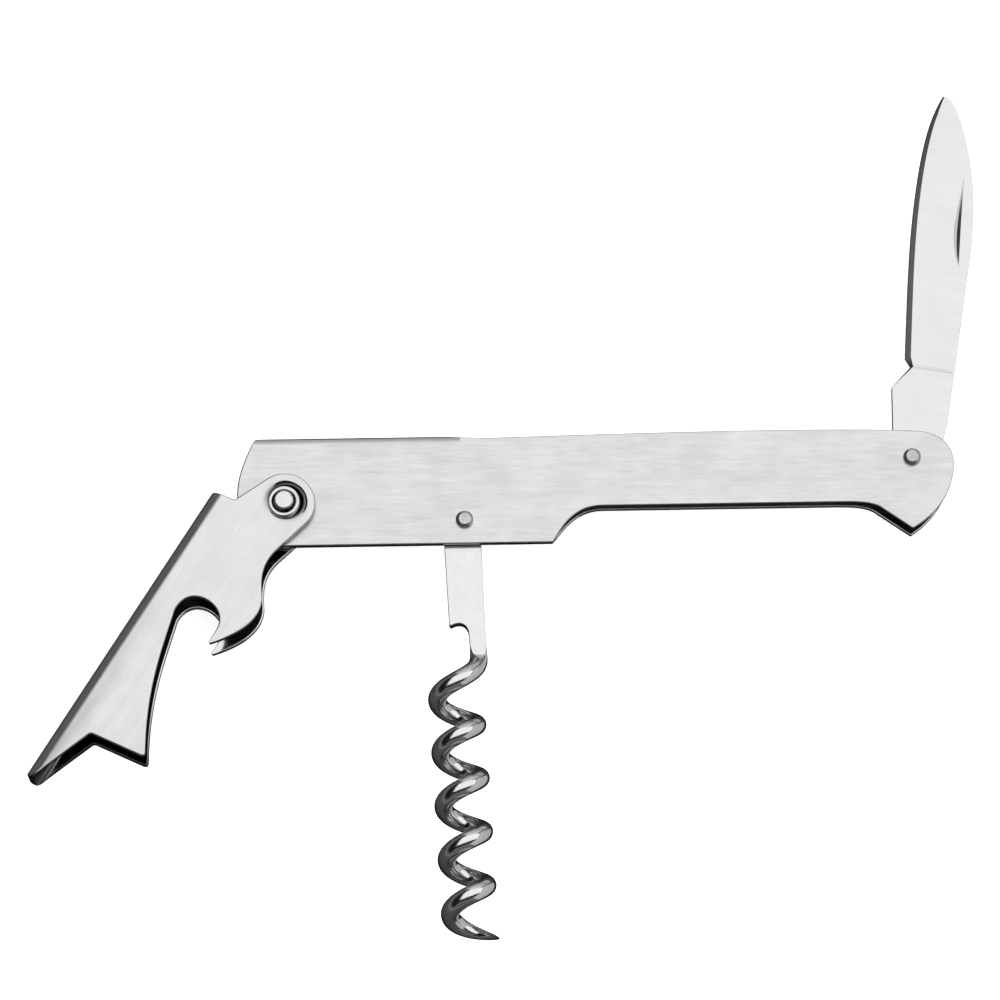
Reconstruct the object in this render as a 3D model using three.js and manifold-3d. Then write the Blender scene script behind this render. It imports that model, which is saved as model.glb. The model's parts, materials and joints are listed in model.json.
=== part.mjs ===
// A waiter's corkscrew in stainless steel, half opened: a folded-sheet handle that carries a
// boot lever with a cap lifter, a knife blade and a right-handed worm, each on a riveted pivot.
// Millimetres, +Z up. The tool lies on its side: X runs along the handle from the lever to the
// knife, Y from the worm side to the knife side, and every pivot axis is parallel to Z.
// The pieces are placed from the lever's pivot, in the middle of the handle's thickness; the
// finished group is moved so that its origin is at the bottom centre of its bounding box.

import * as THREE from "three";
import { mergeVertices } from "three/addons/utils/BufferGeometryUtils.js";
import Module from "manifold-3d";

const wasm = await Module();
wasm.setup();

const degrees = THREE.MathUtils.degToRad;

// Handle: one sheet folded along the left half of its top edge into two walls.
const handle = {
  thickness: 5.4, // over both walls
  sheet: 0.9,
  foldRadius: 1.5, // outside of the fold
  top: 11.5, // outside of the fold above the lever pivot
  foldEnd: 28.4, // the fold stops here, and the slot for the blade starts
  bottom: -6.8,
  backBottom: -5.7, // the back wall is cut a little shorter than the front wall
  recess: -0.85, // edge of the cut-out that the folded worm lies in
  backRecess: -0.3,
};

// Boot lever: one sheet folded along its outer edge, straddling the handle.
// Its own frame has x from the pivot to the foot and y towards the cap lifter.
const lever = {
  angle: 237.5,
  width: 8.4,
  sheet: 1.1,
  foldRadius: 2.2,
  spine: -11.1, // outside of the fold
  eyeRadius: 4.95,
};

// Knife: its own frame has x from the pivot to the tip and y towards the cutting edge.
const knife = {
  pivot: [101.1, 6.45],
  angle: 80.4,
  thickness: 1.7,
  length: 63.2,
  spine: -5.05,
  tangRadius: 4.3,
};

// Worm: its own frame has x from the pivot to the point.
const worm = {
  pivot: [28.9, -2.9],
  angle: -87.3,
  shankThickness: 2.2,
  axis: -3.05, // the helix's axis lies beside the pivot
  outerRadius: 4.55,
  wireRadius: 1.5,
  pitch: 8.7,
  turns: 5,
  start: 24.5, // where the first turn begins
  neck: 0.95, // middle of the neck between shank and helix
  neckTop: 17.9,
};

// Rivets, washers and the leaf spring inside the handle.
const rivet = { shaft: 1.2, head: 1.4, headHeight: 1.0 };
const eyelet = { bore: 1.3, barrel: 1.95, rim: 2.45, rimTop: 5.3, rimHeight: 0.9 };
const pivotPin = { shaft: 1.22, head: 1.5, neckTop: 5.4, top: 6.2 };
const washer = { knifeRadius: 3.2, wormRadius: 2.9 };
const spring = { thickness: 1.0, width: 3.0, height: 1.35, end: 99.4 };

const runningGap = 0.06; // radial clearance of a turning joint
const sideGap = 0.08; // between faces that lie on each other

const wallInside = handle.thickness / 2 - handle.sheet;
const roundSegments = 40;

// ---- geometry helpers ----

// A closed three.js geometry as a manifold-3d solid.
function solid(geometry) {
  const plain = geometry.index ? geometry.toNonIndexed() : geometry.clone();
  plain.deleteAttribute("normal");
  plain.deleteAttribute("uv");
  const merged = mergeVertices(plain, 1e-4);
  return new wasm.Manifold(
    new wasm.Mesh({
      numProp: 3,
      vertProperties: merged.attributes.position.array,
      triVerts: new Uint32Array(merged.index.array),
    }),
  );
}

// A flat outline made solid between two heights.
function prism(outline, low, high, curveSegments = 10) {
  const geometry = new THREE.ExtrudeGeometry(outline, {
    depth: high - low,
    bevelEnabled: false,
    curveSegments,
  });
  return solid(geometry.translate(0, 0, low));
}

// A turned piece about Z, from [radius, height] points that start and end on the axis or close.
function turned(profile) {
  const points = profile.map(([radius, height]) => new THREE.Vector2(radius, height));
  const geometry = new THREE.LatheGeometry(points, roundSegments);
  return solid(geometry.rotateX(Math.PI / 2));
}

function rod(radius, low, high) {
  return turned([[0, low], [radius, low], [radius, high], [0, high]]);
}

// A round hole right through the tool, at x, y.
function hole(radius, x, y) {
  const halfDepth = 20;
  return rod(radius, -halfDepth, halfDepth).translate([x, y, 0]);
}

// A channel along X: two walls joined by a rounded fold, open on the side that faces away.
// fold is the y of the fold's outside, open the y of the open side.
function channel(x0, x1, fold, open, width, sheet, radius) {
  const side = Math.sign(open - fold);
  const section = (inset, r, far) => {
    const half = width / 2 - inset;
    const near = fold + side * inset;
    const turn = near + side * r;
    const shape = new THREE.Shape();
    shape.moveTo(far, -half);
    shape.lineTo(turn, -half);
    shape.quadraticCurveTo(near, -half, near, -half + r);
    shape.lineTo(near, half - r);
    shape.quadraticCurveTo(near, half, turn, half);
    shape.lineTo(far, half);
    return shape;
  };
  const along = (shape, from, to) => {
    const geometry = new THREE.ExtrudeGeometry(shape, {
      depth: to - from,
      bevelEnabled: false,
      curveSegments: 6,
    });
    // The section's x, y and depth become Y, Z and X.
    geometry.applyMatrix4(new THREE.Matrix4().set(0, 0, 1, from, 1, 0, 0, 0, 0, 1, 0, 0, 0, 0, 0, 1));
    return solid(geometry);
  };
  const outside = along(section(0, radius, open), x0, x1);
  const inside = along(section(sheet, radius - sheet, open + side), x0 - 1, x1 + 1);
  return outside.subtract(inside);
}

// ---- handle ----

function handleOutline(bottom, recess) {
  const { top, foldEnd } = handle;
  const shape = new THREE.Shape();
  shape.moveTo(-4.75, top);
  shape.bezierCurveTo(-6.2, 8.3, -7.65, 5.3, -7.65, 1.8); // rounded left end
  shape.lineTo(-7.65, -0.4);
  shape.quadraticCurveTo(-7.65, bottom, -1.3, bottom);
  shape.lineTo(43, bottom);
  shape.bezierCurveTo(44.6, -4.2, 46.3, recess - 0.1, 51, recess); // into the worm's recess
  shape.lineTo(88, recess);
  shape.bezierCurveTo(91.5, recess, 94, recess, 95.6, -1.7);
  shape.lineTo(100.5, -5.25); // beak
  shape.quadraticCurveTo(100.8, -5.45, 101.1, -5.25);
  shape.bezierCurveTo(104.8, -3.2, 107.4, 0.2, 107.9, 5.2); // rounded right end
  shape.bezierCurveTo(107.9, 8.2, 106.3, 10.3, 102.8, 10.9);
  shape.quadraticCurveTo(88.6, 12.05, 32, 10.85); // slightly crowned top edge
  shape.lineTo(foldEnd, 11.1);
  shape.lineTo(26, top);
  return shape;
}

function handleChannel() {
  const half = handle.thickness / 2;
  const farRight = 120;
  const fold = channel(
    -20, handle.foldEnd, handle.top, -20, handle.thickness, handle.sheet, handle.foldRadius,
  );
  const slot = prism(rectangle(handle.foldEnd, -20, farRight, 20), -wallInside, wallInside);
  const right = prism(rectangle(handle.foldEnd, -20, farRight, 20), -half, half).subtract(slot);
  const blank = fold.add(right);
  const front = blank.intersect(prism(handleOutline(handle.bottom, handle.recess), 0, half));
  const back = blank.intersect(prism(handleOutline(handle.backBottom, handle.backRecess), -half, 0));
  return front
    .add(back)
    .subtract(hole(eyelet.barrel + runningGap, 0, 0))
    .subtract(hole(rivet.shaft + runningGap, ...knife.pivot))
    .subtract(hole(rivet.shaft + runningGap, ...worm.pivot));
}

function rectangle(x0, y0, x1, y1) {
  const shape = new THREE.Shape();
  shape.moveTo(x0, y0);
  shape.lineTo(x1, y0);
  shape.lineTo(x1, y1);
  shape.lineTo(x0, y1);
  return shape;
}

// ---- boot lever ----

function leverOutline() {
  const { spine, eyeRadius } = lever;
  const shape = new THREE.Shape();
  shape.moveTo(4.2, spine);
  shape.lineTo(3.75, -7.4);
  shape.quadraticCurveTo(3.7, -7.05, 3.3, -6.9);
  shape.absarc(0, 0, eyeRadius, degrees(-113), degrees(75), true); // eye round the pivot
  shape.lineTo(7.2, 3.2);
  shape.bezierCurveTo(10.3, 2.4, 12.2, 3.3, 14.8, 5.2); // throat behind the cap lifter
  shape.bezierCurveTo(17.3, 7.0, 21.2, 6.6, 25.8, 2.4);
  shape.quadraticCurveTo(26.1, 2.1, 25.6, 2.05); // the cap lifter's tip
  shape.bezierCurveTo(23.6, 2.1, 22.0, 2.2, 20.8, 0.6);
  shape.bezierCurveTo(19.4, -1.6, 20.0, -5.6, 24.1, -5.4); // the cap lifter's mouth
  shape.bezierCurveTo(30.5, -3.6, 37.0, -2.4, 46.1, 3.2); // inner edge of the arm
  shape.quadraticCurveTo(47.0, 3.75, 47.1, 2.6);
  shape.lineTo(48.1, -5.4);
  shape.quadraticCurveTo(48.15, -5.85, 48.6, -6.0); // notch that rests on the bottle's rim
  shape.lineTo(57.6, -9.4);
  shape.quadraticCurveTo(58.9, -9.9, 58.9, spine);
  return shape;
}

function bootLever() {
  const half = lever.width / 2;
  const folded = channel(-10, 62, lever.spine, 12, lever.width, lever.sheet, lever.foldRadius);
  return folded
    .intersect(prism(leverOutline(), -half - 1, half + 1))
    .subtract(hole(eyelet.barrel + runningGap, 0, 0));
}

// ---- knife ----

function bladeOutline() {
  const { length, spine, tangRadius } = knife;
  const shape = new THREE.Shape();
  shape.absarc(0, 0, tangRadius, degrees(50), degrees(270), false); // end of the tang
  shape.lineTo(7.5, spine);
  shape.lineTo(37, spine);
  shape.bezierCurveTo(46, -4.9, 54, -3.2, 61.2, 0.5); // back of the point
  shape.quadraticCurveTo(62.9, 1.6, length, 2.95);
  shape.bezierCurveTo(59, 4.7, 54, 5.25, 46, 5.25); // cutting edge
  shape.bezierCurveTo(37, 5.25, 29, 4.4, 17.1, 3.25);
  shape.lineTo(15.85, 2.2); // choil
  shape.lineTo(11.9, 4.7);
  return shape;
}

function knifeBlade() {
  const half = knife.thickness / 2;
  return prism(bladeOutline(), -half, half).subtract(hole(rivet.shaft + runningGap, 0, 0));
}

// ---- worm ----

function shankOutline() {
  const shape = new THREE.Shape();
  shape.moveTo(16.6, -3.5);
  shape.lineTo(0, -3.5);
  shape.bezierCurveTo(-3.9, -3.5, -3.9, 2.5, 0, 2.5); // end of the tang
  shape.lineTo(20, 2.2);
  shape.lineTo(20, -0.35);
  shape.lineTo(18.4, -0.45);
  shape.quadraticCurveTo(17.2, -0.5, 16.7, -1.4); // step above the neck
  shape.quadraticCurveTo(16.4, -2.2, 17.0, -3.2);
  return shape;
}

const wormLength = worm.start + worm.pitch * worm.turns;

// Radius of the wire at a distance along the worm: full to the last turn, then down to a point.
function wireRadius(x) {
  const pointRadius = 0.12;
  const taper = worm.pitch * 0.9;
  const share = Math.max(0, 1 - (wormLength - x) / taper);
  return THREE.MathUtils.lerp(worm.wireRadius, pointRadius, share);
}

// The middle of the wire: down the neck, then a right-handed helix that keeps its outer radius.
class WormCurve extends THREE.Curve {
  getPoint(t, target = new THREE.Vector3()) {
    const { start, pitch, axis, neck, neckTop, outerRadius } = worm;
    const easeIn = 0.3; // in turns, before and after the start
    const x = THREE.MathUtils.lerp(neckTop, wormLength, t);
    const turn = (x - start) / pitch;
    const eased = turn > easeIn ? turn : Math.max(0, turn + easeIn) ** 2 / (4 * easeIn);
    const angle = 2 * Math.PI * eased;
    const settle = THREE.MathUtils.smoothstep(turn, -easeIn, easeIn);
    const radius = THREE.MathUtils.lerp(neck - axis, outerRadius - wireRadius(x), settle);
    return target.set(x, axis + radius * Math.cos(angle), radius * Math.sin(angle));
  }
}

// A round wire swept along the worm's curve, each ring drawn in to the wire's radius there.
function wormWire() {
  const steps = 118;
  const path = new WormCurve();
  const ring = new THREE.Shape().absarc(0, 0, worm.wireRadius, 0, 2 * Math.PI);
  const geometry = new THREE.ExtrudeGeometry(ring, {
    steps,
    curveSegments: 5,
    extrudePath: path,
    bevelEnabled: false,
  });
  const centres = path.getSpacedPoints(steps);
  const vertices = geometry.getAttribute("position");
  const vertex = new THREE.Vector3();
  for (let i = 0; i < vertices.count; i++) {
    vertex.fromBufferAttribute(vertices, i);
    const gaps = centres.map((centre) => centre.distanceTo(vertex));
    const centre = centres[gaps.indexOf(Math.min(...gaps))];
    vertex.lerp(centre, 1 - wireRadius(centre.x) / worm.wireRadius);
    vertices.setXYZ(i, vertex.x, vertex.y, vertex.z);
  }
  return solid(geometry);
}

function corkscrewWorm() {
  const half = worm.shankThickness / 2;
  return prism(shankOutline(), -half, half)
    .add(wormWire())
    .subtract(hole(rivet.shaft + runningGap, 0, 0));
}

// ---- pivots, washers and spring ----

// A solid rivet through the handle, with a domed head on each side.
function handleRivet([x, y]) {
  const { shaft, head, headHeight } = rivet;
  const face = handle.thickness / 2 + sideGap;
  const dome = [[shaft, face], [head, face], [head, face + headHeight * 0.4],
    [head * 0.8, face + headHeight * 0.85], [head * 0.4, face + headHeight], [0, face + headHeight]];
  return turned(bothEnds(dome)).translate([x, y, 0]);
}

// The profile of one end of a turned piece, mirrored to make the other end too.
function bothEnds(profile) {
  const lower = profile.map(([radius, height]) => [radius, -height]).reverse();
  return [...lower, ...profile];
}

// The bush that the lever turns on: a tube with a rolled rim on each side.
function pivotEyelet() {
  const { bore, barrel, rim, rimTop, rimHeight } = eyelet;
  const under = rimTop - rimHeight;
  const outer = bothEnds([[barrel, under], [rim, under], [rim, rimTop - 0.3],
    [rim - 0.25, rimTop], [bore + 0.25, rimTop], [bore, rimTop - 0.3]]);
  return turned([...outer, outer[0]]);
}

// The rivet inside the bush, with a domed head standing proud of the rim on each side.
function leverRivet() {
  const { shaft, head, neckTop, top } = pivotPin;
  return turned(bothEnds([[shaft, neckTop], [head, neckTop], [head, top - 0.4],
    [head * 0.75, top - 0.1], [head * 0.35, top], [0, top]]));
}

function ringWasher(outer, pieceThickness, side, [x, y]) {
  const inner = rivet.shaft + runningGap;
  const low = pieceThickness / 2 + sideGap;
  const high = wallInside - sideGap;
  const ring = turned([[inner, low], [outer, low], [outer, high], [inner, high], [inner, low]]);
  return (side < 0 ? ring.mirror([0, 0, 1]) : ring).translate([x, y, 0]);
}

// A leaf spring, hooked under the fold, that presses on the worm's tang and on the knife's.
function leafSpring() {
  const { thickness, width, height, end } = spring;
  const underFold = handle.top - handle.sheet - thickness / 2 - 0.1;
  const route = new THREE.CurvePath();
  const point = (x, y) => new THREE.Vector2(x, y);
  route.add(new THREE.LineCurve(point(4.5, underFold), point(9, underFold)));
  route.add(new THREE.CubicBezierCurve(
    point(9, underFold), point(14, underFold), point(15, height), point(21, height),
  ));
  route.add(new THREE.LineCurve(point(21, height), point(end, height)));
  const edge = (offset) => route.curves.flatMap((curve) => {
    const divisions = curve.isLineCurve ? 1 : 12;
    return Array.from({ length: divisions + 1 }, (_, i) => {
      const tangent = curve.getTangent(i / divisions);
      return curve.getPoint(i / divisions).add(point(-tangent.y * offset, tangent.x * offset));
    });
  });
  const outline = new THREE.Shape([...edge(thickness / 2), ...edge(-thickness / 2).reverse()]);
  return prism(outline, -width / 2, width / 2);
}

// ---- assembly ----

const satin = { color: 0xd9d9d6, roughness: 0.34, metalness: 1 };
const ground = { color: 0xdededc, roughness: 0.26, metalness: 1 };
const polished = { color: 0xb9b9b6, roughness: 0.1, metalness: 1 };
const bright = { color: 0xe2e2e0, roughness: 0.16, metalness: 1 };

const tool = new THREE.Group();

function place(parent, name, shape, finish) {
  const mesh = shape.getMesh();
  const geometry = new THREE.BufferGeometry();
  geometry.setAttribute("position", new THREE.BufferAttribute(mesh.vertProperties, 3));
  geometry.setIndex(new THREE.BufferAttribute(mesh.triVerts, 1));
  geometry.computeVertexNormals();
  const piece = new THREE.Mesh(geometry, new THREE.MeshStandardMaterial(finish));
  piece.name = name;
  parent.add(piece);
}

// A group with a moving piece's own frame: at its pivot, turned to its place on the half-open tool.
function frameAt([x, y], angle) {
  const frame = new THREE.Group();
  frame.position.set(x, y, 0);
  frame.rotation.z = degrees(angle);
  tool.add(frame);
  return frame;
}

place(tool, "handle_channel", handleChannel(), satin);
place(tool, "lever_pivot_eyelet", pivotEyelet(), bright);
place(tool, "lever_pivot_pin", leverRivet(), bright);
place(tool, "back_spring", leafSpring(), polished);
for (const [pieceName, radius, thickness, pivot] of [
  ["knife", washer.knifeRadius, knife.thickness, knife.pivot],
  ["worm", washer.wormRadius, worm.shankThickness, worm.pivot],
]) {
  place(tool, `${pieceName}_pivot_pin`, handleRivet(pivot), bright);
  place(tool, `${pieceName}_washer_front`, ringWasher(radius, thickness, 1, pivot), bright);
  place(tool, `${pieceName}_washer_back`, ringWasher(radius, thickness, -1, pivot), bright);
}
place(frameAt([0, 0], lever.angle), "boot_lever", bootLever(), satin);
place(frameAt(knife.pivot, knife.angle), "knife_blade", knifeBlade(), ground);
place(frameAt(worm.pivot, worm.angle), "corkscrew_worm", corkscrewWorm(), polished);

// The origin goes to the bottom centre of the bounding box.
const bounds = new THREE.Box3().setFromObject(tool, true);
const middle = bounds.getCenter(new THREE.Vector3());
tool.position.set(-middle.x, -middle.y, -bounds.min.z);

export default tool;
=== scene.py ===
# A waiter's corkscrew in stainless steel, half opened, lying on a pale floor under a soft light.
# The handle and the boot lever are bent sheets, the blade and the shank are plates, the rivets
# are turned, and the worm is a swept wire. Shapes are in millimetres in each piece's own frame,
# whose origin is its pivot in the middle of the tool's thickness.

import json
import math

import bmesh
import bpy
import numpy as np
from mathutils import Matrix, Vector
from mathutils.geometry import delaunay_2d_cdt


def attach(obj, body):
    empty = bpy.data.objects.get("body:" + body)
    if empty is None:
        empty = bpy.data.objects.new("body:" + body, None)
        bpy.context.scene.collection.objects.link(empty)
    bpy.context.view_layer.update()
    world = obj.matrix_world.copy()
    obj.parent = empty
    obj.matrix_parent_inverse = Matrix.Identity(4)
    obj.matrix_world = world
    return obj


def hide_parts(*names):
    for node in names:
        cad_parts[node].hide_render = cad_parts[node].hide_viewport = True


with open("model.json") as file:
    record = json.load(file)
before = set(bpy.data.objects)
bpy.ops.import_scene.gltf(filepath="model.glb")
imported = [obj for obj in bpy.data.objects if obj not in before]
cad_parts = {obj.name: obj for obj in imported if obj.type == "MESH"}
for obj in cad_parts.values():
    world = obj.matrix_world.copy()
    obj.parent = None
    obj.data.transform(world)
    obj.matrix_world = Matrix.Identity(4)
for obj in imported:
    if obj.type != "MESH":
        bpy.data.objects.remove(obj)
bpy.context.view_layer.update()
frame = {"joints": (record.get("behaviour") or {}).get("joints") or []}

MM = 0.001
PIVOTS = {joint["name"]: Vector(joint["pos_m"]) for joint in frame["joints"]}

# The handle: its other pivots from the lever's, its outer width and its sheet's thickness.
KNIFE_PIVOT = (101.1, 6.45)
WORM_PIVOT = (28.9, -2.9)
HANDLE_WIDTH = 5.4
HANDLE_SHEET = 0.9

# What turns between its walls, the holes for the pins, and the play beside each washer.
TANG_THICKNESS = 1.7
SHANK_THICKNESS = 2.2
PIN_HOLE = 1.26
WASHER_PLAY = 0.08

# The worm, from its pivot: y of the helix's axis and of the neck's middle, the helix's outer
# radius, the wire's radius, the pitch and number of turns, and x where they start and end.
AXIS, NECK = -3.05, 0.95
OUTER, WIRE, PITCH, TURNS, START = 4.55, 1.5, 8.7, 5, 24.5
WORM_END = START + PITCH * TURNS

# How much shade is painted on a sheet's cut edge, and how smooth a pressed hole is. The hole is
# that smooth from one depth on, and from another the shade painted in it is darkest.
CUT_PAINTED_SHADE = 0.7
PRESSED_SMOOTH = 0.75
SMOOTH_FROM = 0.05
DARKEST_FROM = 0.22


def eased(share):
    """From 0 to 1, slow at both ends."""
    return share * share * (3 - 2 * share)


def around(segments=72):
    """Equal turns round a circle, from 0."""
    return np.arange(segments) * 2 * math.pi / segments


def new_object(name, data):
    made = bpy.data.objects.new(name, data)
    bpy.context.scene.collection.objects.link(made)
    return made


# ---- outlines ----


class Outline:
    """An open line of straight and curved stretches, as a list of points."""

    def __init__(self, *start):
        self.points = [start]

    def line(self, *ends):
        """Straight on through each of these points."""
        self.points += ends
        return self

    def curve(self, *controls, step=0.3):
        """A Bezier curve from the last point to the last control."""
        controls = np.array([self.points[-1], *controls], float)
        length = np.linalg.norm(np.diff(controls, axis=0), axis=1).sum()
        count = max(5, math.ceil(length / step))
        for t in np.arange(1, count + 1) / count:
            level = controls
            while len(level) > 1:
                level = level[:-1] * (1 - t) + level[1:] * t
            self.points.append(tuple(level[0]))
        return self

    def arc(self, radius, start, end, step=3.0):
        """Part of a circle about the origin, in degrees."""
        for angle in np.linspace(start, end, math.ceil(abs(end - start) / step) + 1):
            turn = math.radians(angle)
            self.points.append((radius * math.cos(turn), radius * math.sin(turn)))
        return self


def circle(radius, centre=(0, 0)):
    """The points of a circle, anticlockwise from x."""
    return np.column_stack([np.cos(around()), np.sin(around())]) * radius + centre


def turning(loop, way):
    """The loop, reversed if it doesn't turn that way: 1 is anticlockwise, -1 clockwise."""
    x, y = loop.T
    area = (x * np.roll(y, -1) - y * np.roll(x, -1)).sum()
    return loop if area * way > 0 else loop[::-1]


def outward(loop, open_edge=None):
    """At each point of a loop, the way out of the material, long enough to keep a rim's width.
    An open edge isn't counted."""
    ahead = np.roll(loop, -1, axis=0) - loop
    ahead /= np.linalg.norm(ahead, axis=1)[:, None]
    after = np.column_stack([ahead[:, 1], -ahead[:, 0]])
    before = np.roll(after, 1, axis=0)
    if open_edge is not None:
        after[open_edge] = before[open_edge]
        before[open_edge + 1] = after[open_edge + 1]
    cosine = (before * after).sum(1)
    return (before + after) / np.maximum(1 + cosine, 0.25)[:, None]


def untangled(ring, loop):
    """The ring, with each stretch that has turned back on itself drawn together to a point."""
    along = np.roll(loop, -1, axis=0) - loop
    ring = ring.copy()
    for _ in range(6):
        ahead = np.roll(ring, -1, axis=0) - ring
        for i in np.flatnonzero((ahead * along).sum(1) < -1e-9):
            j = (i + 1) % len(ring)
            ring[i] = ring[j] = (ring[i] + ring[j]) / 2
    return ring


# ---- plates and bent sheets ----


class Solid:
    """The vertices of a piece with their normals and marks, and its faces. The marks say, from 0
    to 1, how rounded the edge is at a vertex, how much it is within the sheet's U or a pressed
    hole, where the steel is smoother, and how much shade is painted on it."""

    def __init__(self):
        self.places, self.normals, self.marks, self.faces = [], [], [], []

    def add(self, places, normals, marks=(0.0, 0.0, 0.0)):
        first = sum(map(len, self.places))
        self.places.append(np.asarray(places, float))
        self.normals.append(np.asarray(normals, float))
        self.marks.append(np.column_stack([np.broadcast_to(mark, len(places)) for mark in marks]))
        return np.arange(first, first + len(places))

    def join(self, low, high, closed=True):
        """Four-sided faces between two rows of vertices."""
        count = len(low) if closed else len(low) - 1
        for i in range(count):
            j = (i + 1) % len(low)
            self.faces.append([int(low[i]), int(low[j]), int(high[j]), int(high[i])])


def rounded_rim(thickness, radius, border=0.1, segments=4):
    """How far each ring of a rim lies inside the outline, and how deep, from face to face. Each
    face has a flat border."""
    turns = np.linspace(0, math.pi / 2, segments + 1)
    front = [(radius + border, 0.0)]
    front += [(radius * (1 - math.sin(turn)), radius * (1 - math.cos(turn))) for turn in turns]
    return np.array(front + [(inset, thickness - depth) for inset, depth in reversed(front)])


def lies_flat(thickness):
    """Places a plate's points half its thickness above and below z = 0, with the plate's axes."""

    def place(points, depth):
        basis = np.tile(np.eye(3), (len(points), 1, 1))
        return np.column_stack([points, thickness / 2 - depth]), basis

    return place


class Fold:
    """A sheet bent to a U round its long edge, at y = edge, with its walls on one side of that: 1
    is above it, -1 below. width and radius are the outside ones, and past free_from there are
    only the walls. s runs along the section, from the fold's middle."""

    def __init__(self, edge, side, width, radius, free_from=math.inf):
        self.side, self.radius = side, radius
        self.centre = edge + side * radius
        self.flat = width / 2 - radius
        self.tangent = self.flat + radius * math.pi / 2
        self.free_from = free_from

    def rows(self, segments=12):
        """Every s where the sheet is creased to follow the fold, from one wall to the other."""
        bend = self.flat + self.radius * np.linspace(math.pi / 2, 0, segments + 1)
        return np.concatenate([bend, -bend[::-1]])

    def along(self, y):
        """s of a height on the front wall."""
        return self.tangent + self.side * (y - self.centre)

    def height(self, s):
        """The height of the sheet's outer face at s."""
        turn = np.clip((np.abs(s) - self.flat) / self.radius, 0, math.pi / 2)
        return self.centre - self.side * self.radius * np.cos(turn)

    def place(self, points, depth):
        """Where points of the unrolled sheet are once it is bent, and the sheet's axes there."""
        x, s = points.T
        way, sign = np.abs(s), np.where(s < 0, -1.0, 1.0)
        turn = np.clip((way - self.flat) / self.radius, 0, math.pi / 2)
        turn = np.where(x > self.free_from, math.pi / 2, turn)
        reach = self.radius - depth
        wall = turn > math.pi / 2 - 1e-9
        y = self.centre - self.side * (reach * np.cos(turn) - np.where(wall, way - self.tangent, 0))
        z = sign * (np.where(wall, self.flat, np.minimum(way, self.flat)) + reach * np.sin(turn))
        nothing = np.zeros_like(turn)
        basis = np.empty((len(points), 3, 3))
        basis[:, :, 0] = (1, 0, 0)
        basis[:, :, 1] = np.column_stack([nothing, sign * self.side * np.sin(turn), np.cos(turn)])
        basis[:, :, 2] = np.column_stack([nothing, -self.side * np.cos(turn), sign * np.sin(turn)])
        return np.column_stack([x, y, z]), basis

    def unroll(self, front, back, near_end, far_end):
        """The flat outline of the bent sheet, and the pairs of its points that creases join.
        front and back run from the near end of the fold round the wall to its far end, and each
        end is the line that cuts the fold off, from the wall to the fold's edge."""

        def at(end, s):
            heights, xs = np.array([(self.side * y, x) for x, y in end]).T
            order = np.argsort(heights)
            return np.interp(self.side * self.height(s), heights[order], xs[order])

        rows = self.rows()[1:-1]
        front = [(x, self.along(y)) for x, y in front]
        back = [(x, -self.along(y)) for x, y in back][::-1]
        far = [(at(far_end, s), s) for s in rows]
        near = [(at(near_end, s), s) for s in rows[::-1]]
        first_back = len(front) + len(rows)
        last_back = first_back + len(back) - 1
        creases = [(0, len(front) - 1), (first_back, last_back)]
        creases += [(len(front) + k, last_back + len(rows) - k) for k in range(len(rows))]
        return np.array(front + far + back + near), creases


def inside(points, loop):
    """Which points lie in a loop, by counting the edges a line to the right crosses."""
    (x0, y0), (x1, y1) = loop.T, np.roll(loop, -1, axis=0).T
    x, y = points[:, :1], points[:, 1:]
    with np.errstate(divide="ignore", invalid="ignore"):
        meets = x0 + (y - y0) * (x1 - x0) / (y1 - y0)
    return (((y0 > y) != (y1 > y)) & (meets > x)).sum(1) % 2 == 1


def filled(points, loops, creases):
    """Triangles inside the first loop and outside the others, which are rows of point numbers."""
    edges = [(int(a), int(b)) for loop in loops for a, b in zip(loop, np.roll(loop, -1))]
    flat = [Vector(point) for point in points]
    places, _, faces, origins, _, _ = delaunay_2d_cdt(flat, edges + creases, [], 0, 1e-7)
    middles = np.array([np.mean([places[corner] for corner in face], axis=0) for face in faces])
    kept = inside(middles, points[loops[0]])
    for loop in loops[1:]:
        kept &= ~inside(middles, points[loop])
    # Where two rings touch at a narrow place, the new point there becomes the nearest old one.
    names = [
        origin[0] if origin else int(np.linalg.norm(points - np.array(place), axis=1).argmin())
        for place, origin in zip(places, origins)
    ]
    named = [[names[corner] for corner in face] for face, keep in zip(faces, kept) if keep]
    return [face for face in named if len(set(face)) == len(face)]


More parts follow.
